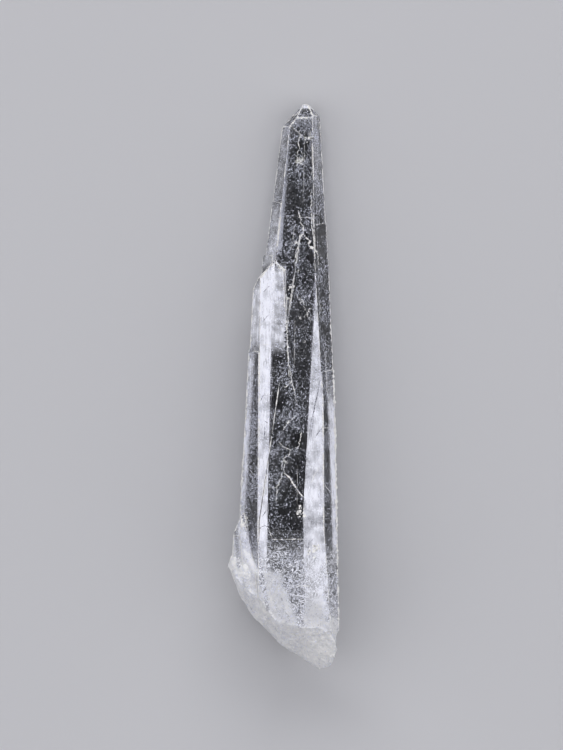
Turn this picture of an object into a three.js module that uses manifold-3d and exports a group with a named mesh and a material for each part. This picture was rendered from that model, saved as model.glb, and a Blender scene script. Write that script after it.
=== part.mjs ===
// A laser quartz wand: one long, tapering crystal of clear quartz, lying on its back prism face.
// Units are millimetres. X runs across the crystal, Y along its c-axis towards the point, Z up.
// Three individuals grew together in parallel and share one solid: the tall one that carries the
// point, and a left and a right one that end in shoulders lower down. The root is a broken,
// lumpy foot with a small leaning crystal beside it.

import * as THREE from "three";
import { ConvexGeometry } from "three/addons/geometries/ConvexGeometry.js";
import { mergeVertices } from "three/addons/utils/BufferGeometryUtils.js";
import Module from "manifold-3d";

const wasm = await Module();
wasm.setup();

// Angles of quartz. A prism face's azimuth is the direction it faces in the XZ plane, in degrees.
const FRONT = 90;
const UPPER_LEFT = 150;
const LOWER_LEFT = 210;
const BACK = 270;
const LOWER_RIGHT = 330;
const UPPER_RIGHT = 30;
const POINT_SLOPE = 38.2; // a rhombohedron face leans this far from the c-axis
const STEEP_SLOPE = 24.2; // a steeper face, as on the right shoulder

// Lengths along the c-axis.
const FOOT_END = -66; // individuals run on past the break and are cut off by it
const HIDDEN = 0.03; // how far a face that doesn't show lies inside its neighbour

const QUARTZ = { color: 0xe9ecf2, roughness: 0.06, metalness: 0 };

const radians = THREE.MathUtils.degToRad;

// The half-space of one flat face, as its outward normal and its distance from the origin.
function faceThrough([x, y, z], normal) {
  const n = normal.clone().normalize();
  return { n, d: n.dot(new THREE.Vector3(x, y, z)) };
}

// A prism face of the given azimuth that passes through a point at each of two stations.
function prismFace(azimuth, [xA, yA, zA], [xB, yB, zB]) {
  const a = radians(azimuth);
  const across = (x, z) => Math.cos(a) * x + Math.sin(a) * z;
  const taper = (across(xB, zB) - across(xA, zA)) / (yA - yB);
  return faceThrough([xA, yA, zA], new THREE.Vector3(Math.cos(a), taper, Math.sin(a)));
}

// A face of the point, over the prism face of the same azimuth.
function pointFace(azimuth, place, slope = POINT_SLOPE) {
  const a = radians(azimuth);
  const s = radians(slope);
  const lean = Math.cos(s);
  return faceThrough(
    place,
    new THREE.Vector3(Math.cos(a) * lean, Math.sin(s), Math.sin(a) * lean),
  );
}

// The corners that a section gives to each prism face. A section has its station y, the height
// of its front face, and where along X its front and back faces end.
const SECTION_CORNERS = {
  front: [FRONT, (s) => [0, s.y, s.height]],
  back: [BACK, (s) => [0, s.y, 0]],
  upperLeft: [UPPER_LEFT, (s) => [s.frontLeft, s.y, s.height]],
  upperRight: [UPPER_RIGHT, (s) => [s.frontRight, s.y, s.height]],
  lowerLeft: [LOWER_LEFT, (s) => [s.backLeft, s.y, 0]],
  lowerRight: [LOWER_RIGHT, (s) => [s.backRight, s.y, 0]],
};

// The named prism faces between two sections, or all six.
function prismFaces(high, low, names = Object.keys(SECTION_CORNERS)) {
  return names.map((name) => {
    const [azimuth, corner] = SECTION_CORNERS[name];
    return { name, ...prismFace(azimuth, corner(high), corner(low)) };
  });
}

// The convex shape inside a list of faces: every corner is where three of them meet.
function convexGeometry(faces) {
  const corners = [];
  const system = new THREE.Matrix3();
  for (let i = 0; i < faces.length; i++)
    for (let j = i + 1; j < faces.length; j++)
      for (let k = j + 1; k < faces.length; k++) {
        const [a, b, c] = [faces[i], faces[j], faces[k]];
        system.set(...a.n.toArray(), ...b.n.toArray(), ...c.n.toArray());
        if (Math.abs(system.determinant()) < 1e-9) continue;
        const corner = new THREE.Vector3(a.d, b.d, c.d).applyMatrix3(system.invert());
        const inside = faces.every((f) => f.n.dot(corner) <= f.d + 1e-6);
        const known = corners.some((p) => p.distanceTo(corner) < 1e-4);
        if (inside && !known) corners.push(corner);
      }
  return new ConvexGeometry(corners);
}

// A manifold solid from a closed three.js geometry.
function solidOf(geometry) {
  const bare = geometry.clone();
  bare.deleteAttribute("normal");
  bare.deleteAttribute("uv");
  const merged = mergeVertices(bare, 1e-4);
  return new wasm.Manifold(
    new wasm.Mesh({
      numProp: 3,
      vertProperties: new Float32Array(merged.attributes.position.array),
      triVerts: new Uint32Array(merged.index.array),
    }),
  );
}

// The named faces of a neighbour, just far enough inside them to stay hidden.
function within(neighbour, names) {
  return neighbour
    .filter((f) => names.includes(f.name))
    .map((f) => ({ n: f.n, d: f.d - HIDDEN }));
}

const footFace = faceThrough([0, FOOT_END, 0], new THREE.Vector3(0, -1, 0));

// The tall individual that carries the point.
function tallFaces() {
  const top = {
    y: 54.5,
    height: 5.8,
    frontLeft: 1.1,
    frontRight: 6.1,
    backLeft: 1.4,
    backRight: 6.2,
  };
  const shoulder = {
    y: 28.9,
    height: 9.0,
    frontLeft: -1.5,
    frontRight: 6.5,
    backLeft: -0.6,
    backRight: 6.65,
  };
  const root = {
    y: -31.9,
    height: 16.4,
    frontLeft: -4.2,
    frontRight: 7.4,
    backLeft: -2.5,
    backRight: 3.8,
  };
  return [
    ...prismFaces(top, shoulder),
    ...prismFaces(shoulder, root, ["upperLeft", "lowerLeft", "lowerRight"]),
    pointFace(FRONT, [0, 57.2, 5.4]),
    pointFace(UPPER_LEFT, [1.5, 55.7, 5.6]),
    pointFace(UPPER_RIGHT, [6.5, 57.0, 5.5]),
    pointFace(LOWER_LEFT, [-0.2, 55.3, 3.1]),
    pointFace(LOWER_RIGHT, [7.9, 57.0, 2.8]),
    pointFace(BACK, [0, 55.9, 0]),
    footFace,
  ];
}

// The left individual, whose point is the broad shoulder on the left of the front face.
function leftFaces() {
  const high = {
    y: 19.9,
    height: 10.75,
    frontLeft: -5.1,
    frontRight: 0.1,
    backLeft: -1.95,
    backRight: 3.4,
  };
  const low = {
    y: -24.4,
    height: 16.25,
    frontLeft: -5.35,
    frontRight: 2.5,
    backLeft: -3.25,
    backRight: 3.0,
  };
  return [
    ...prismFaces(high, low),
    pointFace(UPPER_LEFT, [-4.7, 23.4, 10.3]),
    pointFace(UPPER_RIGHT, [-1.9, 26.4, 10.0]),
    pointFace(LOWER_LEFT, [-6.4, 20.8, 8.1]),
    pointFace(LOWER_RIGHT, [3.0, 22.0, 0]),
    footFace,
  ];
}

// A thin individual behind the left one, which gives the upper step of the left outline.
function rearLeftFaces() {
  const high = {
    y: 26.3,
    height: 8.1,
    frontLeft: -2.55,
    frontRight: 4.0,
    backLeft: -1.9,
    backRight: 4.0,
  };
  const low = {
    y: -24.4,
    height: 14.0,
    frontLeft: -4.9,
    frontRight: 4.0,
    backLeft: -3.1,
    backRight: 3.4,
  };
  return [
    ...prismFaces(high, low),
    pointFace(UPPER_LEFT, [-3.6, 28.0, 5.4]),
    pointFace(LOWER_LEFT, [-4.5, 26.9, 4.1]),
    pointFace(FRONT, [0, 29.5, 7.6]),
    footFace,
  ];
}

// The right individual, which makes most of the lower front face and the right side.
function rightFaces() {
  const high = {
    y: 27.8,
    height: 9.45,
    frontLeft: 2.9,
    frontRight: 6.5,
    backLeft: -0.4,
    backRight: 7.0,
  };
  const waist = {
    y: -3.1,
    height: 13.65,
    frontLeft: -1.5,
    frontRight: 8.2,
    backLeft: -1.4,
    backRight: 5.35,
  };
  const root = { ...waist, y: -31.9, height: 17.35, frontRight: 8.5, backRight: 3.95 };
  return [
    ...prismFaces(high, waist, ["front", "back", "upperLeft", "upperRight", "lowerLeft"]),
    ...prismFaces(waist, root, ["upperRight", "lowerRight"]),
    ...within(leftFaces(), ["upperLeft", "lowerLeft"]),
    pointFace(UPPER_RIGHT, [4.3, 31.9, 8.95], STEEP_SLOPE),
    pointFace(UPPER_LEFT, [3.8, 31.9, 8.95]),
    pointFace(LOWER_RIGHT, [8.6, 28.5, 4.5], STEEP_SLOPE),
    footFace,
  ];
}

// The bounds of the stout lower end, where the taper nearly stops.
function rootFaces() {
  const knee = {
    y: -33,
    height: 17.45,
    frontLeft: -5.5,
    frontRight: 8.55,
    backLeft: -3.5,
    backRight: 4.1,
  };
  const foot = { ...knee, y: -55, height: 18.05, frontLeft: -5.3, backLeft: -3.3 };
  return [
    ...prismFaces(knee, foot, ["front", "upperLeft", "lowerLeft"]),
    faceThrough([0, 0, -1], new THREE.Vector3(0, 0, -1)),
    faceThrough([20, 0, 0], new THREE.Vector3(1, 0, 0)),
    faceThrough([0, 70, 0], new THREE.Vector3(0, 1, 0)),
    faceThrough([0, FOOT_END - 1, 0], new THREE.Vector3(0, -1, 0)),
  ];
}

// A growth ledge: below its brow, the named prism faces of an individual stand out a little.
function ledgeFaces(faces, names, brow, growth) {
  const step = new THREE.Vector3(0, 1, 0.12);
  return [
    ...faces.map((f) => ({ ...f, d: f.d + (names.includes(f.name) ? growth : -HIDDEN) })),
    faceThrough([0, brow, 0], step),
  ];
}

const LEDGES = [
  { faces: leftFaces(), names: ["upperLeft", "lowerLeft"], brow: 8.6, growth: 0.2 },
  { faces: leftFaces(), names: ["lowerLeft"], brow: -14.5, growth: 0.3 },
  { faces: rightFaces(), names: ["upperRight"], brow: 4.4, growth: 0.14 },
  { faces: rightFaces(), names: ["lowerRight"], brow: -11.0, growth: 0.2 },
  { faces: tallFaces(), names: ["upperLeft"], brow: 39.8, growth: 0.14 },
  { faces: tallFaces(), names: ["upperRight", "lowerRight"], brow: 35.2, growth: 0.12 },
  { faces: tallFaces(), names: ["front"], brow: 36.8, growth: 0.1 },
];

// The steps in the resting face, towards the root and towards the point.
const BACK_STEPS = [
  { from: FOOT_END - 4, to: -33.2, depth: 0.25 },
  { from: FOOT_END - 4, to: -42.5, depth: 0.5 },
  { from: 24.0, to: 64, depth: 0.1 },
  { from: 35.6, to: 64, depth: 0.22 },
];

function backStep({ from, to, depth }) {
  const box = new THREE.BoxGeometry(40, to - from, 2);
  return solidOf(box.translate(0, (from + to) / 2, depth - 1));
}

// The small leaning crystal beside the root, which tapers more than the others.
function leaningFaces() {
  const high = {
    y: -31,
    height: 14.6,
    frontLeft: -9.5,
    frontRight: -7.9,
    backLeft: -3.5,
    backRight: -1.0,
  };
  const low = {
    y: -42,
    height: 16.9,
    frontLeft: -8.4,
    frontRight: -5.4,
    backLeft: -4.5,
    backRight: -1.0,
  };
  return [
    ...prismFaces(high, low, ["front", "upperLeft", "upperRight", "lowerLeft", "lowerRight"]),
    pointFace(UPPER_LEFT, [-9.7, -29.0, 12.4], 18),
    pointFace(LOWER_LEFT, [-9.7, -29.0, 12.4], 22),
    pointFace(FRONT, [0, -29.9, 14.3]),
    pointFace(UPPER_RIGHT, [-8.2, -28.4, 13.5]),
    faceThrough([-11.3, -38.8, 12], new THREE.Vector3(-0.84, -0.55, 0.12)),
    faceThrough([0, -36, 5.6], new THREE.Vector3(0, 0.1, -1)),
  ];
}

// A smooth unevenness of a broken surface, between about -1 and 1.
function unevenness(x, y, z) {
  const broad = Math.sin(0.9 * x + 1.3 * Math.sin(0.7 * z)) * Math.cos(0.8 * y + 0.5 * z);
  const fine = Math.sin(2.1 * x - 1.6 * y) * Math.sin(1.9 * z + 1.1 * y);
  return 0.7 * broad + 0.3 * fine;
}

// The rough mass below the leaning crystal: uneven eggs whose long axes lean with the break.
const LUMPS = [
  { at: [-7.4, -41.3, 9.9], size: [3.8, 6.4, 6.9], lean: 24, fineness: 7 },
  { at: [-5.7, -43.6, 13.4], size: [2.8, 4.4, 3.6], lean: 38, fineness: 5 },
  { at: [-5.4, -43.6, 5.2], size: [3.0, 4.6, 3.6], lean: 32, fineness: 5 },
];

const LUMP_ROUGHNESS = 0.08; // how far a lump's surface leaves its egg, as a share of the radius

function roughLump({ at, size, lean, fineness }) {
  const stone = new THREE.IcosahedronGeometry(1, fineness);
  const merged = mergeVertices(stone.deleteAttribute("normal").deleteAttribute("uv"));
  const p = merged.attributes.position;
  for (let i = 0; i < p.count; i++) {
    const place = new THREE.Vector3().fromBufferAttribute(p, i);
    const egg = place.clone().multiply(new THREE.Vector3(...size));
    const uneven = unevenness(1.3 * egg.x + at[2], 1.1 * egg.y, 1.2 * egg.z);
    const rough = 1 + LUMP_ROUGHNESS * uneven;
    p.setXYZ(i, ...egg.multiplyScalar(rough).toArray());
  }
  return solidOf(merged.rotateZ(radians(lean)).translate(...at));
}

// Where the break ends at each place across the wand, at its longest and on the front face.
const BREAK_OUTLINE = [
  [-20, -34.0],
  [-12.0, -38.0],
  [-10.7, -41.5],
  [-9.4, -44.9],
  [-7.2, -48.3],
  [-4.3, -51.6],
  [-0.6, -55.1],
  [1.7, -56.8],
  [7.2, -60.0],
  [8.7, -60.1],
  [10.0, -59.8],
  [10.9, -59.0],
  [11.4, -57.0],
  [20, -52.0],
];
const BREAK_FRONT = [
  [-20, -30.0],
  [-12.0, -36.5],
  [-8.0, -42.6],
  [-4.7, -45.7],
  [-3.2, -47.6],
  [-1.3, -50.3],
  [1.3, -50.8],
  [9.0, -51.8],
  [20, -52.5],
];

// The value at x of a line through a list of [x, value] points.
function along(points, x) {
  const last = points.findIndex(([end]) => end >= x);
  const i = Math.min(Math.max(last, 1), points.length - 1);
  const [[xA, a], [xB, b]] = [points[i - 1], points[i]];
  return a + ((b - a) * (x - xA)) / (xB - xA);
}

// How far along the axis the break lies, over the cross-section. It is longest at the belly,
// which rises to the right, and slopes back to the front face above and the back face below.
function breakAt(x, z) {
  const belly = 7 + 0.6 * Math.max(0, x - 2);
  const front = 18;
  const outline = along(BREAK_OUTLINE, x);
  const above = Math.max(0, (z - belly) / (front - belly)) ** 1.7;
  const below = Math.max(0, (belly - z) / belly) ** 2;
  const slope = (along(BREAK_FRONT, x) - outline) * above + 2.2 * below;
  const shell = Math.hypot(x - 1, z - 15);
  const ripples = 0.22 * Math.cos(1.9 * shell) * Math.exp(-shell / 7);
  return outline + slope + ripples + 0.34 * unevenness(1.1 * x, 4, 1.1 * z);
}

// All that lies beyond the break, to be cut away.
function beyondBreak() {
  const [width, length, depth] = [36, 30, 26];
  const cell = 0.62;
  const box = new THREE.BoxGeometry(
    width,
    length,
    depth,
    Math.round(width / cell),
    1,
    Math.round(depth / cell),
  ).translate(0, 0, depth / 2 - 3);
  const p = box.attributes.position;
  for (let i = 0; i < p.count; i++) {
    const [x, y, z] = [p.getX(i), p.getY(i), p.getZ(i)];
    p.setY(i, y > 0 ? breakAt(x, z) : FOOT_END - 14);
  }
  return solidOf(box);
}

// Where the right edge is chipped near the break: how deep, from which station along the axis,
// and how far the chip's upper end leans along Z.
const CHIPS = [
  { name: "upperRight", depth: 0.22, from: -53.6, lean: 0.55 },
  { name: "lowerRight", depth: 0.26, from: -54.4, lean: -0.3 },
];

// A slab of what lies outside a right prism face, to be chipped away.
function chip({ name, depth, from, lean }) {
  const { n, d } = rightFaces().find((f) => f.name === name);
  const slab = [
    { n: n.clone().negate(), d: depth - d },
    { n, d: d + 6 },
    faceThrough([11, from, 9], new THREE.Vector3(0.25, 1, lean)),
    faceThrough([0, FOOT_END - 2, 0], new THREE.Vector3(0, -1, 0)),
    faceThrough([0, 0, 24], new THREE.Vector3(0, 0, 1)),
    faceThrough([0, 0, -4], new THREE.Vector3(0, 0, -1)),
  ];
  return solidOf(convexGeometry(slab));
}

// The nick across the right edge, just above the chipped part.
const NICK = { size: [1.6, 2.5, 7], turn: -8, tilt: -10, at: [12.25, -54.4, 12.6] };

function nick({ size, turn, tilt, at }) {
  const groove = new THREE.IcosahedronGeometry(1, 3).scale(...size);
  return solidOf(groove.rotateZ(radians(turn)).rotateX(radians(tilt)).translate(...at));
}

function wandSolid() {
  const individuals = [tallFaces(), leftFaces(), rearLeftFaces(), rightFaces()];
  const ledges = LEDGES.map((l) => ledgeFaces(l.faces, l.names, l.brow, l.growth));
  const chips = [...CHIPS.map(chip), nick(NICK)];
  const joined = (sum, shape) => sum.add(shape);
  const cut = (left, shape) => left.subtract(shape);
  const prism = [...individuals, ...ledges]
    .map((faces) => solidOf(convexGeometry(faces)))
    .reduce(joined)
    .intersect(solidOf(convexGeometry(rootFaces())));
  const stepped = BACK_STEPS.map(backStep).reduce(cut, prism);
  const leaning = solidOf(convexGeometry(leaningFaces()));
  const whole = [leaning, ...LUMPS.map(roughLump)].reduce(joined, stepped);
  return [...chips, beyondBreak()].reduce(cut, whole);
}

// A three.js geometry from a manifold solid, with flat faces.
function geometryOf(solid) {
  const mesh = solid.getMesh();
  return new THREE.BufferGeometry()
    .setAttribute("position", new THREE.BufferAttribute(mesh.vertProperties, 3))
    .setIndex(new THREE.BufferAttribute(mesh.triVerts, 1))
    .toNonIndexed();
}

// The origin is under the middle of the wand, on the surface that it lies on.
const geometry = geometryOf(wandSolid());
geometry.computeBoundingBox();
const { min, max } = geometry.boundingBox;
geometry.computeVertexNormals();

const wand = new THREE.Mesh(geometry, new THREE.MeshStandardMaterial(QUARTZ));
wand.name = "quartz_wand";

const object = new THREE.Group();
object.add(wand);
object.position.set(-(min.x + max.x) / 2, -(min.y + max.y) / 2, -min.z);

export default object;
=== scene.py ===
"""A laser quartz wand on a pale floor: a long clear crystal with cracks, veils and a milky, broken root."""

import math
import random

import bmesh
import bpy
import numpy as np
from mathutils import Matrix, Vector, kdtree, noise
from mathutils.bvhtree import BVHTree

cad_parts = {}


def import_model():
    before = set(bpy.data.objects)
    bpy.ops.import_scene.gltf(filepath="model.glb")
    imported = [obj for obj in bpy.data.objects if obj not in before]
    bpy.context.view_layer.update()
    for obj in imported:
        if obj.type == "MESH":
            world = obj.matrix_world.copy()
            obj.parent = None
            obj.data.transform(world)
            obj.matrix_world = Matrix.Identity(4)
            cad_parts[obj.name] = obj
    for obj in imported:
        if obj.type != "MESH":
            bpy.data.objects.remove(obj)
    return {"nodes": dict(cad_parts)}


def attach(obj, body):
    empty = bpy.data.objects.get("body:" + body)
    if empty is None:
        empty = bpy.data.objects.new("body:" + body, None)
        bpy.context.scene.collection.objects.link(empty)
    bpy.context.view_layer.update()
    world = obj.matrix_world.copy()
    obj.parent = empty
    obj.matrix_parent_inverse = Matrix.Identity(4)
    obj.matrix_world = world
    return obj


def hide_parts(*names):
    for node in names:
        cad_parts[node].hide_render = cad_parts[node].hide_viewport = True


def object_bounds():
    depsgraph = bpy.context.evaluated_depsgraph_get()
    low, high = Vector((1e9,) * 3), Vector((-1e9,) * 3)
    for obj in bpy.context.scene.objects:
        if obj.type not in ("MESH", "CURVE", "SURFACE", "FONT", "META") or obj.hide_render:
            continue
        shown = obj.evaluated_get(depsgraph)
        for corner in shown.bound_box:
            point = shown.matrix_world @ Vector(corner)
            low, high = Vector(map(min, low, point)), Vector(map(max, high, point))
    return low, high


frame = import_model()
cad_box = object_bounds()
scene = bpy.context.scene
MM = 0.001

# The photograph's frame: its size in pixels, the size of a pixel on the crystal, and where its
# middle lies on the crystal.
FRAME_WIDTH = 563
FRAME_HEIGHT = 750
PIXEL = 0.2132 * MM
MIDDLE = Vector((-0.416, 2.388)) * MM
EYE_ABOVE = 2.0
SHARPEST_HEIGHT = 6 * MM
SENSOR = 36


def camera():
    data = bpy.data.cameras.new("camera")
    data.sensor_fit = "VERTICAL"
    data.sensor_height = SENSOR
    data.lens = SENSOR * EYE_ABOVE / (FRAME_HEIGHT * PIXEL)
    data.clip_start = 0.05
    data.clip_end = 50
    eye = bpy.data.objects.new("camera", data)
    eye.location = (MIDDLE.x, MIDDLE.y, EYE_ABOVE + SHARPEST_HEIGHT)
    scene.collection.objects.link(eye)
    scene.camera = eye


camera()


def spot(px, py, z):
    """The point at height z that the camera sees at a pixel of the photograph."""
    scale = PIXEL * (EYE_ABOVE + SHARPEST_HEIGHT - z) / EYE_ABOVE
    return Vector(
        (
            MIDDLE.x + (px - FRAME_WIDTH / 2) * scale,
            MIDDLE.y + (FRAME_HEIGHT / 2 - py) * scale,
            z,
        )
    )


def mesh_object(name, points, faces, material):
    mesh = bpy.data.meshes.new(name)
    mesh.from_pydata(points, [], faces)
    mesh.materials.append(material)
    piece = bpy.data.objects.new(name, mesh)
    scene.collection.objects.link(piece)
    return piece


class Material:
    """A Principled material, with short calls that add nodes and return their output sockets."""

    def __init__(self, name, **constants):
        self.data = bpy.data.materials.new(name)
        self.data.use_nodes = True
        self.tree = self.data.node_tree
        self.shader = self.tree.nodes["Principled BSDF"]
        self.set(**constants)
        self.place = self.node("TexCoord").outputs["Object"]

    def set(self, **values):
        """Sets sockets of the shader, to a constant or to another node's output."""
        for name, value in values.items():
            self.feed(self.shader.inputs[name.replace("_", " ")], value)

    def feed(self, socket, value):
        if isinstance(value, bpy.types.NodeSocket):
            self.tree.links.new(value, socket)
        else:
            socket.default_value = value

    def node(self, kind, **inputs):
        node = self.tree.nodes.new("ShaderNode" + kind)
        for name, value in inputs.items():
            self.feed(node.inputs[name.replace("_", " ")], value)
        return node

    def attribute(self, name):
        node = self.node("Attribute")
        node.attribute_name = name
        return node.outputs["Fac"]

    def noise(self, size, detail=2.0, roughness=0.5, warp=0.0, place=None):
        """Noise with bumps of about the given size, from 0 to 1."""
        node = self.node(
            "TexNoise",
            Vector=place or self.place,
            Scale=1 / size,
            Detail=detail,
            Roughness=roughness,
            Distortion=warp,
        )
        return node.outputs["Fac"]

    def math(self, operation, a, b=0.0, c=0.0, clamp=False):
        node = self.tree.nodes.new("ShaderNodeMath")
        node.operation = operation
        node.use_clamp = clamp
        for socket, value in zip(node.inputs, (a, b, c)):
            self.feed(socket, value)
        return node.outputs[0]

    def ramp(self, value, low, high, to_low=0.0, to_high=1.0):
        """A smooth step from one value to another."""
        node = self.node("MapRange")
        node.interpolation_type = "SMOOTHSTEP"
        for name, number in (
            ("Value", value),
            ("From Min", low),
            ("From Max", high),
            ("To Min", to_low),
            ("To Max", to_high),
        ):
            self.feed(node.inputs[name], number)
        return node.outputs["Result"]

    def mix(self, factor, a, b):
        node = self.tree.nodes.new("ShaderNodeMix")
        node.data_type = "RGBA"
        for name, value in (("Factor_Float", factor), ("A_Color", a), ("B_Color", b)):
            socket = next(s for s in node.inputs if s.identifier == name)
            self.feed(socket, value)
        return next(s for s in node.outputs if s.identifier == "Result_Color")

    def bump(self, height, distance, strength=1.0, normal=None):
        node = self.node("Bump", Height=height, Distance=distance, Strength=strength)
        if normal:
            self.feed(node.inputs["Normal"], normal)
        return node.outputs["Normal"]


# The floor, a hair's breadth under the crystal
FLOOR_HALF = 3.0
FLOOR_HEIGHT = -0.05 * MM
FLOOR_DARKER = (0.585, 0.585, 0.59, 1)
FLOOR_PALER = (0.61, 0.61, 0.615, 1)


def floor():
    pale = Material("pale_floor", Roughness=0.9, Specular_IOR_Level=0.2)
    grain = pale.noise(0.3)
    pale.set(Base_Color=pale.mix(grain, FLOOR_DARKER, FLOOR_PALER))
    ways = [(-1, -1), (1, -1), (1, 1), (-1, 1)]
    corners = [(x * FLOOR_HALF, y * FLOOR_HALF, FLOOR_HEIGHT) for x, y in ways]
    piece = mesh_object("floor", corners, [(0, 1, 2, 3)], pale.data)


floor()


# The lights
def softbox(name, place, target, width, length, radiance):
    """An area light that shows the given radiance to whatever it is reflected in."""
    data = bpy.data.lights.new(name, "AREA")
    data.shape = "RECTANGLE"
    data.size = width
    data.size_y = length
    data.energy = radiance * math.pi * width * length
    data.color = COOL
    light = bpy.data.objects.new(name, data)
    light.location = place
    aim = Vector(target) - Vector(place)
    light.rotation_euler = aim.to_track_quat("-Z", "Y").to_euler()
    light.visible_camera = False
    scene.collection.objects.link(light)


COOL = (0.985, 0.985, 1.0)
SURROUND = (0.11, 0.11, 0.14, 1)
softbox("overhead", (0, -0.84, 1.5), (0, -0.84, 0), 2.8, 2.2, 0.80)
softbox("right_side", (1.9, -0.2, 0.9), (0, 0, 0), 2.9, 1.8, 1.13)
softbox("left_side", (-1.9, -0.2, 0.9), (0, 0, 0), 2.9, 1.8, 1.13)
softbox("behind_point", (0, 1.75, 1.25), (0, 0, 0), 2.6, 1.2, 3.2)


def world():
    surround = bpy.data.worlds.new("world")
    surround.use_nodes = True
    scene.world = surround
    surround.node_tree.nodes["Background"].inputs[0].default_value = SURROUND


world()
scene.view_settings.view_transform = "Standard"
scene.view_settings.gamma = 0.82
scene.cycles.use_denoising = True
scene.cycles.max_bounces = 16
# This low limit cuts light paths off inside the crystal, and it is what keeps the clear windows
# nearly as dark as in the photograph. With twelve bounces they come out a middle grey.
scene.cycles.transmission_bounces = 2
scene.cycles.glossy_bounces = 12

# The crystal's own surface. CAD faces that look the same way within SAME_WAY are one growth face
# where they cover GROWTH_AREA, and the rest are small steps or, below BREAKS_BELOW, the break.
CAD_WAND = frame["nodes"]["quartz_wand"]
CELL = Vector((0.45, 0.9, 0.5)) * MM
GROWTH_AREA = 3.0 * MM * MM
SAME_WAY = math.cos(math.radians(1.2))
BREAKS_BELOW = -30 * MM
ROOT_END = -28 * MM
POINT_ABOVE = 50 * MM
CREASE = math.radians(14)
LEANS_TO_TIP = 0.32
LOOKS_UP = 0.15
RUNS_ACROSS = 0.4
SAME_FACE = math.cos(math.radians(25))
CAD_MERGE = 0.002 * MM
CUT_MERGE = 0.004 * MM
CELL_MERGE = 0.02 * MM
# The angle round the crystal that each prism face looks at
SIDE_NAMES = {
    "upper_right": 30,
    "front": 90,
    "upper_left": 150,
    "lower_left": 210,
    "back": 270,
    "lower_right": 330,
}
RIMS = ({"upper_left", "lower_left"}, {"upper_right", "lower_right"})
# The inner edges of the white strips of painted reflection on the front face, each given by two pixels
# of the photograph: beside the point, in the left half, and in the right half down to the root.
STRIPS = {
    "point_strip": ((290.0, 120), (282.2, 250)),
    "left_strip": ((272.6, 262), (267.3, 530)),
    "right_strip": ((316.0, 280), (303.0, 510)),
    "root_strip": ((303.0, 510), (305.0, 612)),
}


def side_name(normal):
    """Which prism face a normal belongs to, or point, where it leans towards the tip."""
    if abs(normal.y) > LEANS_TO_TIP:
        return "point"
    turn = math.degrees(math.atan2(normal.z, normal.x)) % 360
    return min(SIDE_NAMES, key=lambda name: abs((SIDE_NAMES[name] - turn + 180) % 360 - 180))


def growth_faces(mesh):
    """For each CAD face, whether it belongs to a large flat growth face."""
    count = len(mesh.polygons)
    normals = np.empty(count * 3)
    areas = np.empty(count)
    mesh.polygons.foreach_get("normal", normals)
    mesh.polygons.foreach_get("area", areas)
    normals = normals.reshape(count, 3)
    alike = (normals @ normals.T) > SAME_WAY
    return (alike @ areas) > GROWTH_AREA


def cut_along(bm, place, across):
    """Cuts every face where it meets a plane."""
    everything = bm.verts[:] + bm.edges[:] + bm.faces[:]
    bmesh.ops.bisect_plane(bm, geom=everything, plane_co=place, plane_no=across, dist=CUT_MERGE)


def refined_crystal():
    """The CAD surface, cut into even cells and along the strips, with its broken parts marked.
    The root gets a second set of crosswise cuts, halfway between the first."""
    bm = bmesh.new()
    bm.from_mesh(CAD_WAND.data)
    small = bm.faces.layers.int.new("small")
    broken = bm.faces.layers.int.new("broken")
    for face, grown in zip(bm.faces, growth_faces(CAD_WAND.data)):
        face[small] = int(not grown)
        face[broken] = int(not grown and face.calc_center_median().y < BREAKS_BELOW)
    bmesh.ops.remove_doubles(bm, verts=bm.verts, dist=CAD_MERGE)
    for axis in range(3):
        low = cad_box[0][axis]
        high = cad_box[1][axis]
        across = Vector([float(i == axis) for i in range(3)])
        for cut in range(int((high - low) / CELL[axis])):
            cut_along(bm, across * (low + (cut + 0.5) * CELL[axis]), across)
    lengthwise = Vector((0, 1, 0))
    for cut in range(1, int((ROOT_END - cad_box[0][1]) / CELL.y)):
        cut_along(bm, lengthwise * (cad_box[0][1] + cut * CELL.y), lengthwise)
    for strip in STRIPS.values():
        start, end = (spot(px, py, SHARPEST_HEIGHT) for px, py in strip)
        along = end - start
        cut_along(bm, start, Vector((along.y, -along.x, 0)).normalized())
    bmesh.ops.triangulate(bm, faces=bm.faces[:])
    bmesh.ops.remove_doubles(bm, verts=bm.verts, dist=CELL_MERGE)
    return bm


def sharp_edges(bm, steps):
    """The sharp edges in two lots, the rims, whose white strips are part wear and part painted highlight,
    and the joints between prism faces, each edge with its ends, and with the normal and the way in of
    each of its faces that looks up."""
    lots = {"rim": [], "joint": []}
    for edge in bm.edges:
        if not edge.is_manifold or edge.calc_face_angle() < CREASE:
            continue
        if any(f[steps] for f in edge.link_faces):
            continue
        a, b = (v.co.copy() for v in edge.verts)
        along = (b - a).normalized()
        ways = []
        for face in edge.link_faces:
            inward = face.calc_center_median() - a
            inward -= along * inward.dot(along)
            if face.normal.z > LOOKS_UP:
                ways.append((face.normal.copy(), inward.normalized()))
        sides = {side_name(f.normal) for f in edge.link_faces}
        crosswise = abs(along.y) < RUNS_ACROSS and a.y < POINT_ABOVE
        wear_and_highlight = sides in RIMS or ("point" in sides and not crosswise)
        lots["rim" if wear_and_highlight else "joint"].append((a, b, ways))
    return lots


def place_tree(edges):
    """The places along some edges, for finding the nearest."""
    tree = kdtree.KDTree(len(edges) * 3)
    for number, (a, b, _) in enumerate(edges):
        for half in range(3):
            tree.insert(a.lerp(b, half / 2), number * 3 + half)
    tree.balance()
    return tree


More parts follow.
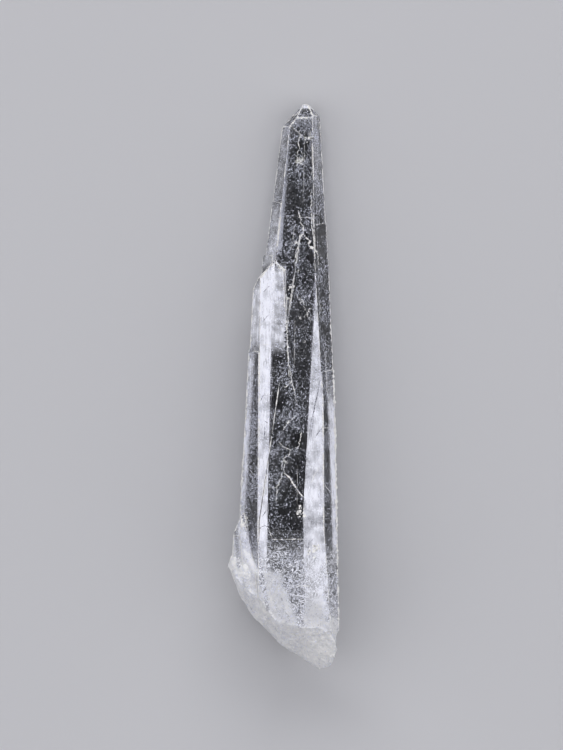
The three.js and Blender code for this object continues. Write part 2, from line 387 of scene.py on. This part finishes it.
def roughen(bm, broken):
    """Moves the broken parts in and out a little, as quartz breaks in shells and grains."""
    bm.normal_update()
    moves = {}
    for vertex in bm.verts:
        share = sum(f[broken] for f in vertex.link_faces) / max(1, len(vertex.link_faces))
        if share > 0.6:
            p = vertex.co / MM
            grains = noise.noise(p * 1.7) * 0.2 + noise.noise(p * 4.1) * 0.09
            shells = 0.25 * abs(noise.noise(p * 0.7 + Vector((3, 1, 4))))
            moves[vertex] = vertex.normal * (grains + shells - 0.14) * MM
    for vertex, move in moves.items():
        vertex.co += move
        vertex.co.z = max(vertex.co.z, 0)


bm = refined_crystal()
bm.normal_update()
sharp = sharp_edges(bm, bm.faces.layers.int["small"])
creases = {name: place_tree(edges) for name, edges in sharp.items()}
roughen(bm, bm.faces.layers.int["broken"])
mesh = bpy.data.meshes.new("crystal_surface")
bm.to_mesh(mesh)
bm.free()
crystal = bpy.data.objects.new("crystal_surface", mesh)
scene.collection.objects.link(crystal)

# How frosted and how milky the crystal is, and where reflection, shade and highlights are painted on it,
# place by place, in pixels of the photograph. The crystal's outline gives the distance in from its left
# and right edges.
LEFT_EDGE = [(104, 303), (126, 283), (250, 267), (276, 259), (292, 252), (520, 239), (545, 232)]
LEFT_EDGE += [(580, 234), (668, 318)]
RIGHT_EDGE = [(104, 309), (112, 317), (180, 323), (340, 331), (540, 337), (668, 337)]


def on_line(points, at):
    return np.interp(at, [p[0] for p in points], [p[1] for p in points])


def smooth(value, low, high):
    t = np.clip((value - low) / (high - low), 0, 1)
    return t * t * (3 - 2 * t)


def window(value, low, high, soft):
    """1 between two values and 0 outside them, with soft ends."""
    return smooth(value, low - soft, low + soft) * (1 - smooth(value, high - soft, high + soft))


class Surface:
    """The refined surface as arrays with one row for each corner of each face."""

    def __init__(self, mesh):
        self.mesh = mesh
        places = np.empty(len(mesh.vertices) * 3)
        mesh.vertices.foreach_get("co", places)
        places = places.reshape(-1, 3)
        corner_vertex = np.empty(len(mesh.loops), dtype=int)
        mesh.loops.foreach_get("vertex_index", corner_vertex)
        normals = np.empty(len(mesh.polygons) * 3)
        mesh.polygons.foreach_get("normal", normals)
        normals = normals.reshape(-1, 3)
        broken = np.empty(len(mesh.polygons), dtype=int)
        mesh.attributes["broken"].data.foreach_get("value", broken)
        self.vertex = corner_vertex
        self.normal = np.repeat(normals, 3, axis=0)
        self.broken = np.repeat(broken, 3).astype(float)
        self.x, self.y, self.z = (places / MM)[corner_vertex].T
        self.px = FRAME_WIDTH / 2 + (self.x * MM - MIDDLE.x) / PIXEL
        self.py = FRAME_HEIGHT / 2 - (self.y * MM - MIDDLE.y) / PIXEL
        self.across = {
            "upper_left": self.px - on_line(LEFT_EDGE, self.py),
            "upper_right": on_line(RIGHT_EDGE, self.py) - self.px,
            "front": self.px,
            "point": self.px,
        }
        face_px = np.repeat(self.px.reshape(-1, 3).mean(axis=1), 3)
        face_py = np.repeat(self.py.reshape(-1, 3).mean(axis=1), 3)
        for name, ((xa, ya), (xb, yb)) in STRIPS.items():
            self.across[name] = face_px - xa - (face_py - ya) * (xb - xa) / (yb - ya)
        self.places = places

    def faces(self, name):
        """1 on the prism faces that look one way, or on the point's faces, 0 elsewhere."""
        if name == "point":
            return (self.normal[:, 1] > LEANS_TO_TIP).astype(float)
        a = math.radians(SIDE_NAMES[name])
        way = np.array([math.cos(a), 0, math.sin(a)])
        return ((self.normal @ way) > SAME_FACE).astype(float)

    def near_lines(self, lines):
        """The strength of the nearest line, each given by two pixels, a width and a strength."""
        most = np.zeros(len(self.px))
        for (ax, ay), (bx, by), width, strength in lines:
            dx = bx - ax
            dy = by - ay
            t = ((self.px - ax) * dx + (self.py - ay) * dy) / (dx * dx + dy * dy)
            t = np.clip(t, 0, 1)
            away = np.hypot(self.px - ax - t * dx, self.py - ay - t * dy)
            most = np.maximum(most, strength * (1 - smooth(away, 0.4 * width, 1.6 * width)))
        return most

    def noise(self, size, seed=0):
        """Noise with bumps of the given size in millimetres, from about -1 to 1."""
        shift = Vector((seed * 7.3, seed * 3.1, seed * 5.7))
        values = [noise.noise(Vector(p) / (size * MM) + shift) for p in self.places]
        return np.array(values)[self.vertex] * 1.6

    def distance_to(self, creases):
        values = [creases.find(p)[2] for p in self.places]
        return np.array(values)[self.vertex] / MM

    def store(self, name, values):
        attribute = self.mesh.attributes.new(name, "FLOAT", "CORNER")
        attribute.data.foreach_set("value", np.clip(values, 0, 1).astype(np.float32))


surface = Surface(mesh)


# Frosted patches, which also paint the white bands along the faces that light reflected inside the crystal
# makes: there they are painted reflection. Each has where it lies, its range across in pixels, its range
# down, how soft its sides and its ends are, and how frosted and painted white it is. On a side face the
# range across is the distance in from the outline, and on a strip it is the distance from the strip's inner
# edge.
FROST_AND_REFLECTION_PATCHES = [
    ("point", 301, 312, 95, 108.6, 1.0, 0.7, 1.0),
    ("upper_left", 0, 30, 118, 205, 1.5, 10, 0.46),
    ("upper_left", 0, 30, 205, 268, 1.5, 10, 0.74),
    ("upper_right", 0, 30, 108, 190, 1.5, 16, 0.56),
    ("upper_left", 0, 30, 282, 350, 1.5, 12, 0.95),
    ("upper_left", -2, 6, 350, 560, 1.5, 14, 0.95),
    ("upper_right", -2, 5, 390, 560, 1.2, 22, 1.0),
    ("left_strip", -30, 0, 262, 430, 0.1, 12, 1.0),
    ("left_strip", -30, 0, 400, 580, 0.1, 12, 0.96),
    ("left_strip", 0, 14, 266, 350, 0.1, 7, 0.88),
    ("right_strip", 0, 40, 285, 520, 0.1, 7, 0.9),
    ("root_strip", 0, 40, 520, 620, 0.1, 7, 0.9),
    ("front", 285, 308, 95, 120, 1.5, 5, 0.3),
]
# The strip beside the point gets painted shade: it is made rougher and darker, to tone down what shines
# through it.
SHADED_STRIP_PATCH = ("point_strip", -14, 0, 118, 252)
# Streaks in the milky root where the clear quartz shows: two pixels, a width in pixels and how
# clear the streak is.
CLEAR_STREAKS = [
    ((236, 528), (239, 566), 1.6, 0.6),
    ((249, 524), (257, 552), 3.4, 0.85),
    ((257, 552), (264, 588), 2.6, 0.85),
    ((264, 588), (268, 608), 1.6, 0.7),
    ((291, 588), (301, 622), 3.5, 0.8),
    ((283, 606), (288, 616), 1.5, 0.4),
    ((275, 602), (280, 614), 1.5, 0.35),
    ((327, 590), (331, 608), 2.0, 0.7),
]
# Painted highlights on facets and lines of the root, in the same form
PAINTED_HIGHLIGHTS = [
    ((246, 550), (256.5, 570), 3.2, 1.0),
    ((236, 572), (243, 588), 2.4, 0.7),
    ((250, 590), (258, 604), 2.6, 0.7),
    ((292, 633), (294, 635), 3.0, 1.0),
    ((318.5, 640.5), (319.5, 641.5), 1.8, 0.9),
    ((269, 609), (278, 622), 1.2, 0.6),
    ((278, 622), (290, 623.5), 1.2, 0.6),
    ((290, 623.5), (326, 627.5), 1.2, 0.6),
]


# Frost that is partly painted reflection, painted shade on the strip beside the point, and pits
def frost_and_reflection():
    s = surface
    broad = s.noise(5.5, 1)
    fine = s.noise(1.6, 2)
    frost_and_reflection_amount = np.zeros(len(s.px))
    for where, x0, x1, y0, y1, side_soft, end_soft, amount in FROST_AND_REFLECTION_PATCHES:
        patch = window(s.across[where], x0, x1, side_soft) * window(s.py, y0, y1, end_soft)
        patch = patch * s.faces("front" if where in STRIPS else where)
        uneven = 1 + (1.2 - amount) * (0.5 * fine + 0.3 * broad)
        frost_and_reflection_amount = np.maximum(frost_and_reflection_amount, amount * patch * uneven)
    s.store("frost_and_reflection", frost_and_reflection_amount * (1 - s.near_lines(CLEAR_STREAKS)))
    # Painted shade on the strip beside the point
    where, x0, x1, y0, y1 = SHADED_STRIP_PATCH
    painted_shade = window(s.across[where], x0, x1, 0.1) * window(s.py, y0, y1, 3) * s.faces("front")
    s.store("painted_shade", painted_shade)
    upward = 0.6 + 0.4 * smooth(s.normal[:, 2], 0.2, 0.4)
    sideways = smooth(s.normal[:, 2], -0.8, -0.6)
    s.store("pits", upward * sideways * (0.45 + 0.7 * broad + 0.4 * fine))


# Where the milky root begins, from left to right in pixels.
MILK_START = [(225, 520), (240, 528), (247, 541), (256, 553), (262, 556), (270, 560), (280, 568)]
MILK_START += [(285, 580), (294, 592), (303, 606), (306, 590), (322, 590), (326, 602), (338, 602)]


def milk():
    s = surface
    wander = 9 * s.noise(2.6, 4) + 4 * s.noise(1.1, 5)
    depth = s.py - on_line(MILK_START, s.px) + wander
    cloud = 0.92 * smooth(depth, -4, 20)
    whole = np.maximum(cloud, 0.97 * smooth(s.py, 608, 630))
    whole = np.maximum(whole, 0.95 * s.broken * smooth(s.py, 500, 530))
    # Painted highlights also make the surface opaque there
    painted_highlight = s.near_lines(PAINTED_HIGHLIGHTS)
    s.store("milk", np.maximum(whole * (1 - s.near_lines(CLEAR_STREAKS)), painted_highlight))
    s.store("painted_highlight", painted_highlight)
    swirl = smooth(s.py + 0.5 * wander, 532, 560) * smooth(s.normal[:, 2], 0.2, 0.4)
    s.store("swirl", swirl)


def edges():
    s = surface
    # The edge mask whitens the surface beside sharp edges on faces that look up: part wear, part painted
    # highlight
    uneven = 0.75 + 0.35 * s.noise(1.3, 6) + 0.2 * s.noise(0.5, 7)
    rim = 1 - smooth(s.distance_to(creases["rim"]), 0.0, 0.4)
    joint = 1 - smooth(s.distance_to(creases["joint"]), 0.0, 0.25)
    upward = smooth(s.normal[:, 2], -0.2, 0.1)
    s.store("edge", np.maximum(rim, 0.45 * joint) * upward * uneven)
    s.store("grain", s.broken)


frost_and_reflection()
milk()
edges()


def quartz():
    m = Material("quartz", IOR=1.544, Specular_IOR_Level=0.5)
    # Frost mask: part real frosting, part painted reflection of light inside the crystal
    frost_and_reflection_amount = m.attribute("frost_and_reflection")
    milky = m.attribute("milk")
    edge = m.attribute("edge")
    grain = m.attribute("grain")
    dense = m.attribute("pits")
    swirling = m.attribute("swirl")
    lengthwise = m.node("Mapping", Vector=m.place, Scale=(1.0, 0.12, 1.0)).outputs["Vector"]
    streaky = m.noise(0.45 * MM, detail=4.0, roughness=0.7, place=lengthwise)
    wisps = m.noise(1.1 * MM, detail=5.0, roughness=0.66, warp=0.6)
    thick = m.math("POWER", frost_and_reflection_amount, 3.0)
    uneven = m.math("MAXIMUM", m.ramp(wisps, 0.25, 0.75, 0.3, 1.0), thick)
    uneven = m.math("MULTIPLY", uneven, m.ramp(streaky, 0.3, 0.7, 0.7, 1.1))
    frost_and_reflection_haze = m.math("MULTIPLY", frost_and_reflection_amount, uneven)
    curls = m.noise(2.0 * MM, detail=3.0, roughness=0.62, warp=2.6)
    fold = m.math("ABSOLUTE", m.math("SUBTRACT", curls, 0.5))
    swirls = m.math("MULTIPLY", swirling, m.ramp(fold, 0.005, 0.06, 1.0, 0.12))
    pits = m.noise(0.3 * MM, detail=3.0, roughness=0.8)
    veil = m.math("MULTIPLY", m.ramp(pits, 0.47, 0.72, 0.0, 0.5), m.ramp(streaky, 0.3, 0.65, 0.3, 1.0))
    cover = m.math("MAXIMUM", m.math("MULTIPLY", veil, dense), frost_and_reflection_haze)
    # Whitening beside sharp edges: part wear, part painted highlight
    cover = m.math("MAXIMUM", cover, m.math("MULTIPLY", m.math("POWER", edge, 2.0), 0.6))
    mottle = m.noise(0.55 * MM, detail=4.0, roughness=0.75)
    smoother = m.math("MULTIPLY_ADD", grain, -0.7, 1.0)
    thin = m.math("MULTIPLY", m.ramp(mottle, 0.32, 0.5, 0.4, 0.0), smoother)
    mottled = m.math("MULTIPLY", milky, m.math("SUBTRACT", 1.0, thin))
    cover = m.math("MAXIMUM", cover, m.math("MAXIMUM", mottled, swirls))
    cloudy = m.noise(1.6 * MM, detail=5.0, roughness=0.68, warp=0.8)
    white = m.mix(m.ramp(cloudy, 0.32, 0.68), (0.56, 0.565, 0.58, 1), (0.80, 0.795, 0.77, 1))
    rough_white = m.mix(m.ramp(cloudy, 0.35, 0.65), (0.87, 0.87, 0.85, 1), (1.0, 0.985, 0.95, 1))
    white = m.mix(m.math("MULTIPLY", grain, 0.95), white, rough_white)
    # Painted highlight: pure white where facets and lines of the root catch the light
    white = m.mix(m.attribute("painted_highlight"), white, (1.0, 1.0, 1.0, 1))
    tint = m.mix(milky, (0.94, 0.95, 1.0, 1), white)
    # Painted shade: a darker blue-grey on the strip beside the point
    painted_shade = m.attribute("painted_shade")
    clear = m.mix(painted_shade, (0.95, 0.96, 1.0, 1), (0.66, 0.69, 0.8, 1))
    m.set(
        Base_Color=m.mix(cover, clear, tint),
        Roughness=m.math("MULTIPLY_ADD", painted_shade, 0.5, m.math("MULTIPLY_ADD", cover, 0.33, 0.02)),
        Transmission_Weight=m.math("SUBTRACT", 1.0, cover, clamp=True),
        Subsurface_Weight=m.math("MULTIPLY", milky, 0.35),
        Subsurface_Radius=(1.0, 0.98, 0.94),
        Subsurface_Scale=0.8 * MM,
    )
    wave = m.bump(m.noise(4.0 * MM, detail=2.0), 0.04 * MM)
    hillocks = m.bump(m.noise(0.5 * MM, detail=3.0), 0.006 * MM, normal=wave)
    grains = m.noise(0.45 * MM, detail=4.0, roughness=0.6)
    rough = m.bump(m.math("MULTIPLY", grains, grain), 0.3 * MM, 0.8, normal=hillocks)
    m.set(Normal=rough)
    return m.data


mesh.materials.append(quartz())
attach(crystal, "root")
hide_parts("quartz_wand")

# What lies on and in the crystal: cracks that reach the surface, white spots and fine grains
cad_tree = BVHTree.FromPolygons(
    [v.co.copy() for v in CAD_WAND.data.vertices],
    [tuple(p.vertices) for p in CAD_WAND.data.polygons],
)
ON_TOP = 0.012 * MM
HIGH = 0.05


def touch(px, py):
    """Where a pixel of the photograph meets the crystal, and the face's normal there."""
    guess = 10 * MM
    for _ in range(3):
        above = spot(px, py, guess)
        above.z = HIGH
        place, normal, _, _ = cad_tree.ray_cast(above, Vector((0, 0, -1)))
        if place is None:
            return None, None
        guess = place.z
    return place, normal


def white_quartz(name, colour, roughness):
    """The white of broken quartz, uneven from grain to grain."""
    m = Material(name, IOR=1.544, Specular_IOR_Level=0.5, Roughness=roughness)
    patchy = m.noise(0.5 * MM, detail=3.0)
    pale = tuple(0.8 * c for c in colour) + (1,)
    m.set(Base_Color=m.mix(m.ramp(patchy, 0.3, 0.7), pale, colour + (1,)))
    m.set(Normal=m.bump(m.noise(0.12 * MM, detail=2.0), 0.03 * MM))
    return m.data


# This white is also used for the edge strips, where it is partly painted highlight
CRACK_AND_HIGHLIGHT_WHITE = white_quartz("crack_and_highlight_white", (0.99, 0.98, 0.94), 0.3)
# Near black for the dark hairlines: painted shade
PAINTED_CRACK_SHADE = white_quartz("painted_crack_shade", (0.10, 0.10, 0.13), 0.4)
GRAIN_WHITE = white_quartz("grain_white", (0.88, 0.90, 1.0), 0.35)


class Shards:
    """Points and faces that become one piece."""

    def __init__(self):
        self.points = []
        self.faces = []

    def polygon(self, points):
        start = len(self.points)
        self.points += points
        self.faces.append(tuple(range(start, len(self.points))))

    def piece(self, name, material):
        made = mesh_object(name, self.points, self.faces, material)
        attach(made, "root")
        return made


# Each crack: its width in millimetres, how deep its sheet reaches, how far the sheet leans across
# and the pixels of the photograph that it passes through.
CRACKS = [
    (0.24, 1.6, 0.5, [(283, 277), (285, 300), (287, 335), (289, 365), (292, 380), (297, 405)]),
    (0.20, 0.8, -0.3, [(291, 382), (287, 385), (284, 388)]),
    (0.20, 0.7, 0.2, [(275, 262), (269, 268), (262, 276)]),
    (0.20, 0.7, 0.2, [(275, 262), (280, 269), (283, 277)]),
    (0.30, 1.2, 0.6, [(296, 415.5), (289, 421), (283, 430)]),
    (0.22, 1.2, -0.5, [(301.5, 432), (300.5, 441), (298, 447), (295.5, 450)]),
    (0.20, 0.9, 0.4, [(279, 442), (284, 447), (291, 450), (288, 456), (283.5, 459), (281.7, 470)]),
    (0.17, 0.7, 0.3, [(284, 459), (284.8, 472)]),
    (0.36, 1.8, 0.6, [(284, 473), (289, 477), (293, 483), (298, 491), (303.5, 497.5)]),
    (0.22, 1.2, -0.5, [(283, 473), (280, 480), (277, 488), (276.5, 495), (276.7, 502)]),
    (0.16, 0.5, 0.2, [(277, 487.5), (272, 488), (267, 487.5)]),
    (0.17, 1.3, 0.5, [(320.3, 476.7), (326, 486), (332.5, 497.3)]),
    (0.16, 0.6, 0.2, [(321.5, 427), (325, 428.5), (329.6, 428)]),
    (0.15, 0.8, 0.3, [(250, 470), (253.5, 474), (257, 478)]),
    (0.14, 0.5, 0.3, [(257, 401.6), (261.4, 397)]),
    (0.34, 0.9, 0.4, [(298, 210), (300, 216), (301, 222), (304, 229), (304.3, 236)]),
    (0.46, 0.9, 0.4, [(304.3, 236), (310, 241), (309, 246), (314, 249), (317, 252), (319, 265)]),
    (0.18, 0.6, 0.2, [(298, 243), (296, 255), (294, 266)]),
    (0.20, 1.4, 0.2, [(311, 190), (312, 215), (313.5, 240), (314.5, 262)]),
    (0.15, 1.0, 0.1, [(325, 350), (326.5, 380), (328, 405), (329, 420)]),
    (0.14, 0.5, 0.2, [(291, 126), (300, 134), (308, 140)]),
    (0.16, 0.7, 0.2, [(299, 130), (299, 148), (297, 160)]),
    (0.15, 0.6, 0.2, [(311, 130), (312, 150), (313, 170), (310, 182)]),
    (0.17, 0.6, 0.2, [(297.4, 117.4), (304, 117), (311.5, 117.4)]),
    (0.17, 0.6, 0.2, [(297.4, 117.4), (294, 121), (291, 124.4)]),
    (0.3, 0.3, 0.1, [(285, 125.6), (293, 117), (303, 107)]),
    (0.24, 0.3, 0.1, [(311, 107.5), (317.8, 117), (320.6, 136), (321.6, 150)]),
    (0.14, 0.5, 0.2, [(302, 152), (301.5, 162), (306, 155)]),
    (0.15, 0.6, 0.2, [(318, 300), (321, 306), (320, 318)]),
    (0.14, 0.5, 0.2, [(296, 296), (302, 300), (306, 312), (311, 322)]),
    (0.13, 0.4, 0.2, [(304, 318), (309, 310), (312, 308)]),
    (0.13, 0.4, 0.2, [(319.8, 468), (315, 473), (310.8, 484)]),
]
# Straight lines: growth steps of the back face that show through, and long streaks
STRAIGHT_LINES = [
    (0.16, 0.3, 0.0, [(267.8, 527), (272.6, 539.5)]),
    (0.20, 0.3, 0.0, [(272.6, 539.5), (302.8, 539)]),
    (0.18, 0.3, 0.0, [(292, 586), (311, 586)]),
    (0.10, 0.3, 0.0, [(259.6, 345), (270.6, 344.6)]),
    (0.10, 0.3, 0.0, [(325, 352), (329.5, 420)]),
    (0.09, 0.3, 0.0, [(316, 195), (320, 330)]),
    (0.08, 0.3, 0.0, [(295, 225), (291, 250)]),
    (0.08, 0.3, 0.0, [(305, 128), (303, 205)]),
    (0.08, 0.3, 0.0, [(295, 320), (294, 372)]),
    (0.08, 0.3, 0.0, [(297.5, 465), (297, 512)]),
]
# Dark hairlines across the white strips and the root: cracks, drawn near black as painted shade where they
# break the light
DARK_LINES = [
    (0.12, 0.4, 0.1, [(319.6, 380), (317.8, 392), (314, 410), (311, 438)]),
    (0.10, 0.4, 0.1, [(318.4, 388), (311.8, 418), (308.6, 440)]),
    (0.10, 0.3, 0.1, [(322.6, 427.8), (318.5, 432), (314.8, 438)]),
    (0.12, 0.3, 0.1, [(308.2, 460), (310, 463)]),
    (0.10, 0.3, 0.1, [(318, 494), (319, 498)]),
    (0.10, 0.3, 0.1, [(263.4, 395.5), (260.6, 401)]),
    (0.12, 0.3, 0.1, [(264.5, 421), (267.6, 423)]),
    (0.12, 0.3, 0.1, [(265, 427), (264.4, 438)]),
    (0.12, 0.4, 0.1, [(267.8, 510), (264.6, 513), (261.8, 517)]),
    (0.12, 0.4, 0.1, [(258.8, 531), (260.8, 527), (264.8, 525.6), (268.2, 527.4)]),
    (0.12, 0.4, 0.1, [(314.6, 538), (309, 543), (307.8, 550), (309.6, 557)]),
    (0.10, 0.3, 0.1, [(305, 545), (307.5, 548)]),
    (0.10, 0.3, 0.1, [(316, 558), (313.5, 562)]),
    (0.10, 0.3, 0.1, [(263.5, 292), (269.5, 286)]),
    (0.08, 0.3, 0.1, [(262.5, 322), (269.5, 314)]),
    (0.08, 0.3, 0.1, [(296, 610), (299, 613)]),
    (0.08, 0.3, 0.1, [(281, 598), (283, 601)]),
]
STEP = 0.24 * MM


def jagged(pixels, jogs, rng):
    """Points every 0.24 mm along a crack, a little off its straight lines."""
    points = []
    jog = 0.0
    for (xa, ya), (xb, yb) in zip(pixels, pixels[1:]):
        count = max(1, round(math.hypot(xb - xa, yb - ya) * PIXEL / STEP))
        for k in range(count):
            t = k / count
            jog = 0.5 * jog + jogs * rng.uniform(-1, 1)
            points.append((xa + (xb - xa) * t + jog, ya + (yb - ya) * t + 0.5 * jog))
    return points + [pixels[-1]]


def add_cracks(lines, sheets, cracks, jogs, beads, rng):
    """Each crack as a thin line in the surface, with its sheet reaching down from it."""
    for width, depth, lean, pixels in cracks:
        route = jagged(pixels, jogs, rng)
        run = len(route) - 1
        ribs = []
        for k, (px, py) in enumerate(route):
            place, normal = touch(px, py)
            if place is None:
                continue
            ahead = Vector(route[min(k + 1, run)]) - Vector(route[max(k - 1, 0)])
            along = Vector((ahead.x, -ahead.y, 0)).normalized()
            across = normal.cross(along).normalized()
            taper = 0.35 + 0.65 * math.sin(math.pi * min(1, (k + 0.4) / (run + 0.8)))
            half = 0.5 * width * MM * taper * rng.choice((0.2, 0.5, 0.7, 1.0, 1.4))
            deep = -normal * depth * taper * rng.uniform(0.3, 0.6) * MM + across * 0.2 * lean * MM
            up = place + normal * ON_TOP
            ribs.append((up - across * half, up + across * half, place, place + deep))
            if rng.random() < beads:
                beside = place + across * rng.uniform(-0.22, 0.22) * MM
                flat_shard(lines, beside, normal, rng.uniform(0.04, 0.11) * MM, 5, rng)
        for a, b in zip(ribs, ribs[1:]):
            lines.polygon([a[0], a[1], b[1], b[0]])
            sheets.polygon([a[2], b[2], b[3], a[3]])


def cracks():
    rng = random.Random(11)
    white = Shards()
    dark = Shards()
    sheets = Shards()
    add_cracks(white, sheets, CRACKS, 0.75, 0.45, rng)
    add_cracks(white, sheets, STRAIGHT_LINES, 0.06, 0.0, rng)
    add_cracks(dark, sheets, DARK_LINES, 0.25, 0.0, rng)
    white.piece("crack_lines", CRACK_AND_HIGHLIGHT_WHITE)
    dark.piece("dark_hairlines", PAINTED_CRACK_SHADE)
    sheets.piece("crack_sheets", GRAIN_WHITE)


# White spots: their middle in pixels and their radius in millimetres
SPOTS = [
    (290.5, 287, 0.55),
    (288, 298, 0.4),
    (299.5, 511.5, 0.95),
    (309, 138, 0.6),
    (297, 161, 0.75),
    (301, 161, 0.45),
    (298, 271, 0.24),
    (305, 342, 0.22),
    (300, 318, 0.24),
    (301, 302, 0.22),
    (314, 551, 0.8),
    (317, 548, 0.5),
    (293, 634, 0.75),
    (319, 641, 0.35),
    (286, 462, 0.25),
]
SHARDS_IN_SPOT = 16
SPOT_CORNERS = 9


def flat_shard(shards, place, normal, radius, corners, rng):
    """An irregular flat grain that lies on the surface."""
    turn = normal.orthogonal().normalized()
    other = normal.cross(turn)
    start = rng.uniform(0, 2 * math.pi)
    stretch = rng.uniform(0.55, 1.0)
    points = []
    for k in range(corners):
        angle = start + 2 * math.pi * k / corners
        reach = radius * rng.uniform(0.65, 1.2)
        step = turn * math.cos(angle) * reach + other * math.sin(angle) * reach * stretch
        points.append(place + step + normal * ON_TOP)
    shards.polygon(points)


def white_spots():
    rng = random.Random(5)
    spots = Shards()
    for px, py, radius in SPOTS:
        for satellite in range(SHARDS_IN_SPOT):
            size = radius * (0.6 if satellite == 0 else rng.uniform(0.12, 0.4))
            away = 0 if satellite == 0 else radius * rng.uniform(0.3, 1.7)
            angle = rng.uniform(0, 2 * math.pi)
            dx = away * math.cos(angle) * MM / PIXEL
            dy = away * math.sin(angle) * MM / PIXEL
            near, way = touch(px + dx, py + dy)
            if near is not None:
                flat_shard(spots, near, way, size * MM, SPOT_CORNERS, rng)
    spots.piece("white_spots", CRACK_AND_HIGHLIGHT_WHITE)


# How much of the surface fine grains cover: on the whole, and more or less in patches that are
# given by their middle and half size in pixels.
GRAIN_COVER = 0.10
GRAIN_PATCHES = [
    (298, 150, 18, 40, 0.07),
    (295, 205, 18, 34, 0.0),
    (302, 275, 14, 22, 0.05),
    (300, 345, 14, 40, -0.06),
    (288, 430, 20, 36, 0.05),
    (290, 510, 18, 36, -0.085),
    (248, 480, 8, 60, 0.2),
    (254, 400, 8, 50, 0.05),
    (281, 165, 7, 50, -0.07),
    (323, 270, 8, 90, 0.03),
    (286, 556, 16, 16, 0.08),
    (265, 310, 12, 70, -0.10),
    (264, 470, 4, 70, -0.10),
    (313, 480, 9, 90, -0.12),
    (314, 570, 9, 50, -0.10),
]
# Each try is kept surely where the cover is SURE, and less often where it is lower. Faces that
# look down get fewer tries, and none is kept close to the floor.
TRIES = 170000
SURE = 0.30
LOWER_FACES = 0.4
CLEAR_OF_FLOOR = 0.4 * MM
LOWEST_LOOK = -0.7
SIDEWAYS = 0.05
ETCH_SHARE = 0.35
GRAIN_SIZE = 0.05
LARGEST_GRAIN = 0.2
GRAIN_SPREAD = 0.6


def grain_cover(px, py, place):
    cover = GRAIN_COVER
    for x, y, rx, ry, more in GRAIN_PATCHES:
        cover += more * math.exp(-(((px - x) / rx) ** 2) - ((py - y) / ry) ** 2)
    uneven = 0.9 + 1.4 * noise.noise(place / (4.5 * MM)) + 0.9 * noise.noise(place / (1.1 * MM))
    return cover * max(0.0, uneven + 0.7 * noise.noise(place / (0.5 * MM)))


def etch_mark(shards, place, normal, rng):
    """A short bent stroke on the surface."""
    angle = rng.uniform(0, math.pi)
    side = Vector((math.cos(angle), math.sin(angle), 0))
    ahead = (side - normal * side.dot(normal)).normalized()
    wide = normal.cross(ahead) * rng.uniform(0.025, 0.06) * MM
    reach = rng.uniform(0.08, 0.3) * MM
    bend = normal.cross(ahead) * rng.uniform(-0.1, 0.1) * MM
    up = place + normal * ON_TOP
    start = up - ahead * reach
    end = up + ahead * reach
    shards.polygon([start, up + bend - wide, end, up + bend + wide])


def surface_grains():
    """Fine white grains and etch marks over all the faces but the back, fewer on the lower ones."""
    rng = random.Random(3)
    grains = Shards()
    polygons = [p for p in mesh.polygons if p.normal.z > LOWEST_LOOK]
    shares = [p.area * (1 if p.normal.z > SIDEWAYS else LOWER_FACES) for p in polygons]
    reach = np.cumsum(shares)
    for _ in range(TRIES):
        polygon = polygons[int(np.searchsorted(reach, rng.random() * reach[-1]))]
        a, b, c = (mesh.vertices[v].co for v in polygon.vertices)
        u = math.sqrt(rng.random())
        v = rng.random()
        place = a * (1 - u) + b * (u * (1 - v)) + c * (u * v)
        px = FRAME_WIDTH / 2 + (place.x - MIDDLE.x) / PIXEL
        py = FRAME_HEIGHT / 2 - (place.y - MIDDLE.y) / PIXEL
        if rng.random() * SURE > grain_cover(px, py, place) or place.z < CLEAR_OF_FLOOR:
            continue
        if rng.random() < ETCH_SHARE:
            etch_mark(grains, place, polygon.normal, rng)
        else:
            size = min(LARGEST_GRAIN, GRAIN_SIZE * math.exp(rng.gauss(0, GRAIN_SPREAD))) * MM
            flat_shard(grains, place, polygon.normal, size, 4, rng)
    grains.piece("surface_grains", GRAIN_WHITE)


# How wide the white rims, part wear and part painted highlight, are in millimetres, down the photograph
RIM_WIDTH = [(100, 0.26), (280, 0.3), (350, 0.55), (520, 0.6), (668, 0.35)]
JOINT_WIDTH = 0.09


def wear_and_highlight_width(name, place):
    """How wide the white strip of wear and painted highlight beside a sharp edge is at one place."""
    py = FRAME_HEIGHT / 2 - (place.y - MIDDLE.y) / PIXEL
    widest = float(on_line(RIM_WIDTH, py)) if name == "rim" else JOINT_WIDTH
    p = place / MM
    return widest * MM * max(0.0, 0.6 + 0.9 * noise.noise(p * 0.45) + 1.1 * noise.noise(p * 2.3))


def wear_and_highlight_edges():
    """The thin, chipped white strips along the crystal's sharp edges, part wear and part painted highlight.
    """
    wear_and_highlight = Shards()
    for name, edges in sharp.items():
        for start, end, ways in edges:
            stops = [start.lerp(end, k / 3) for k in range(4)]
            for a, b in zip(stops, stops[1:]):
                wide_a = wear_and_highlight_width(name, a)
                wide_b = wear_and_highlight_width(name, b)
                if wide_a + wide_b < 0.04 * MM:
                    continue
                for normal, inward in ways:
                    up = normal * ON_TOP
                    wear_and_highlight.polygon([a + up, b + up, b + up + inward * wide_b, a + up + inward * wide_a])
    wear_and_highlight.piece("wear_and_highlight_edges", CRACK_AND_HIGHLIGHT_WHITE)


cracks()
white_spots()
surface_grains()
wear_and_highlight_edges()
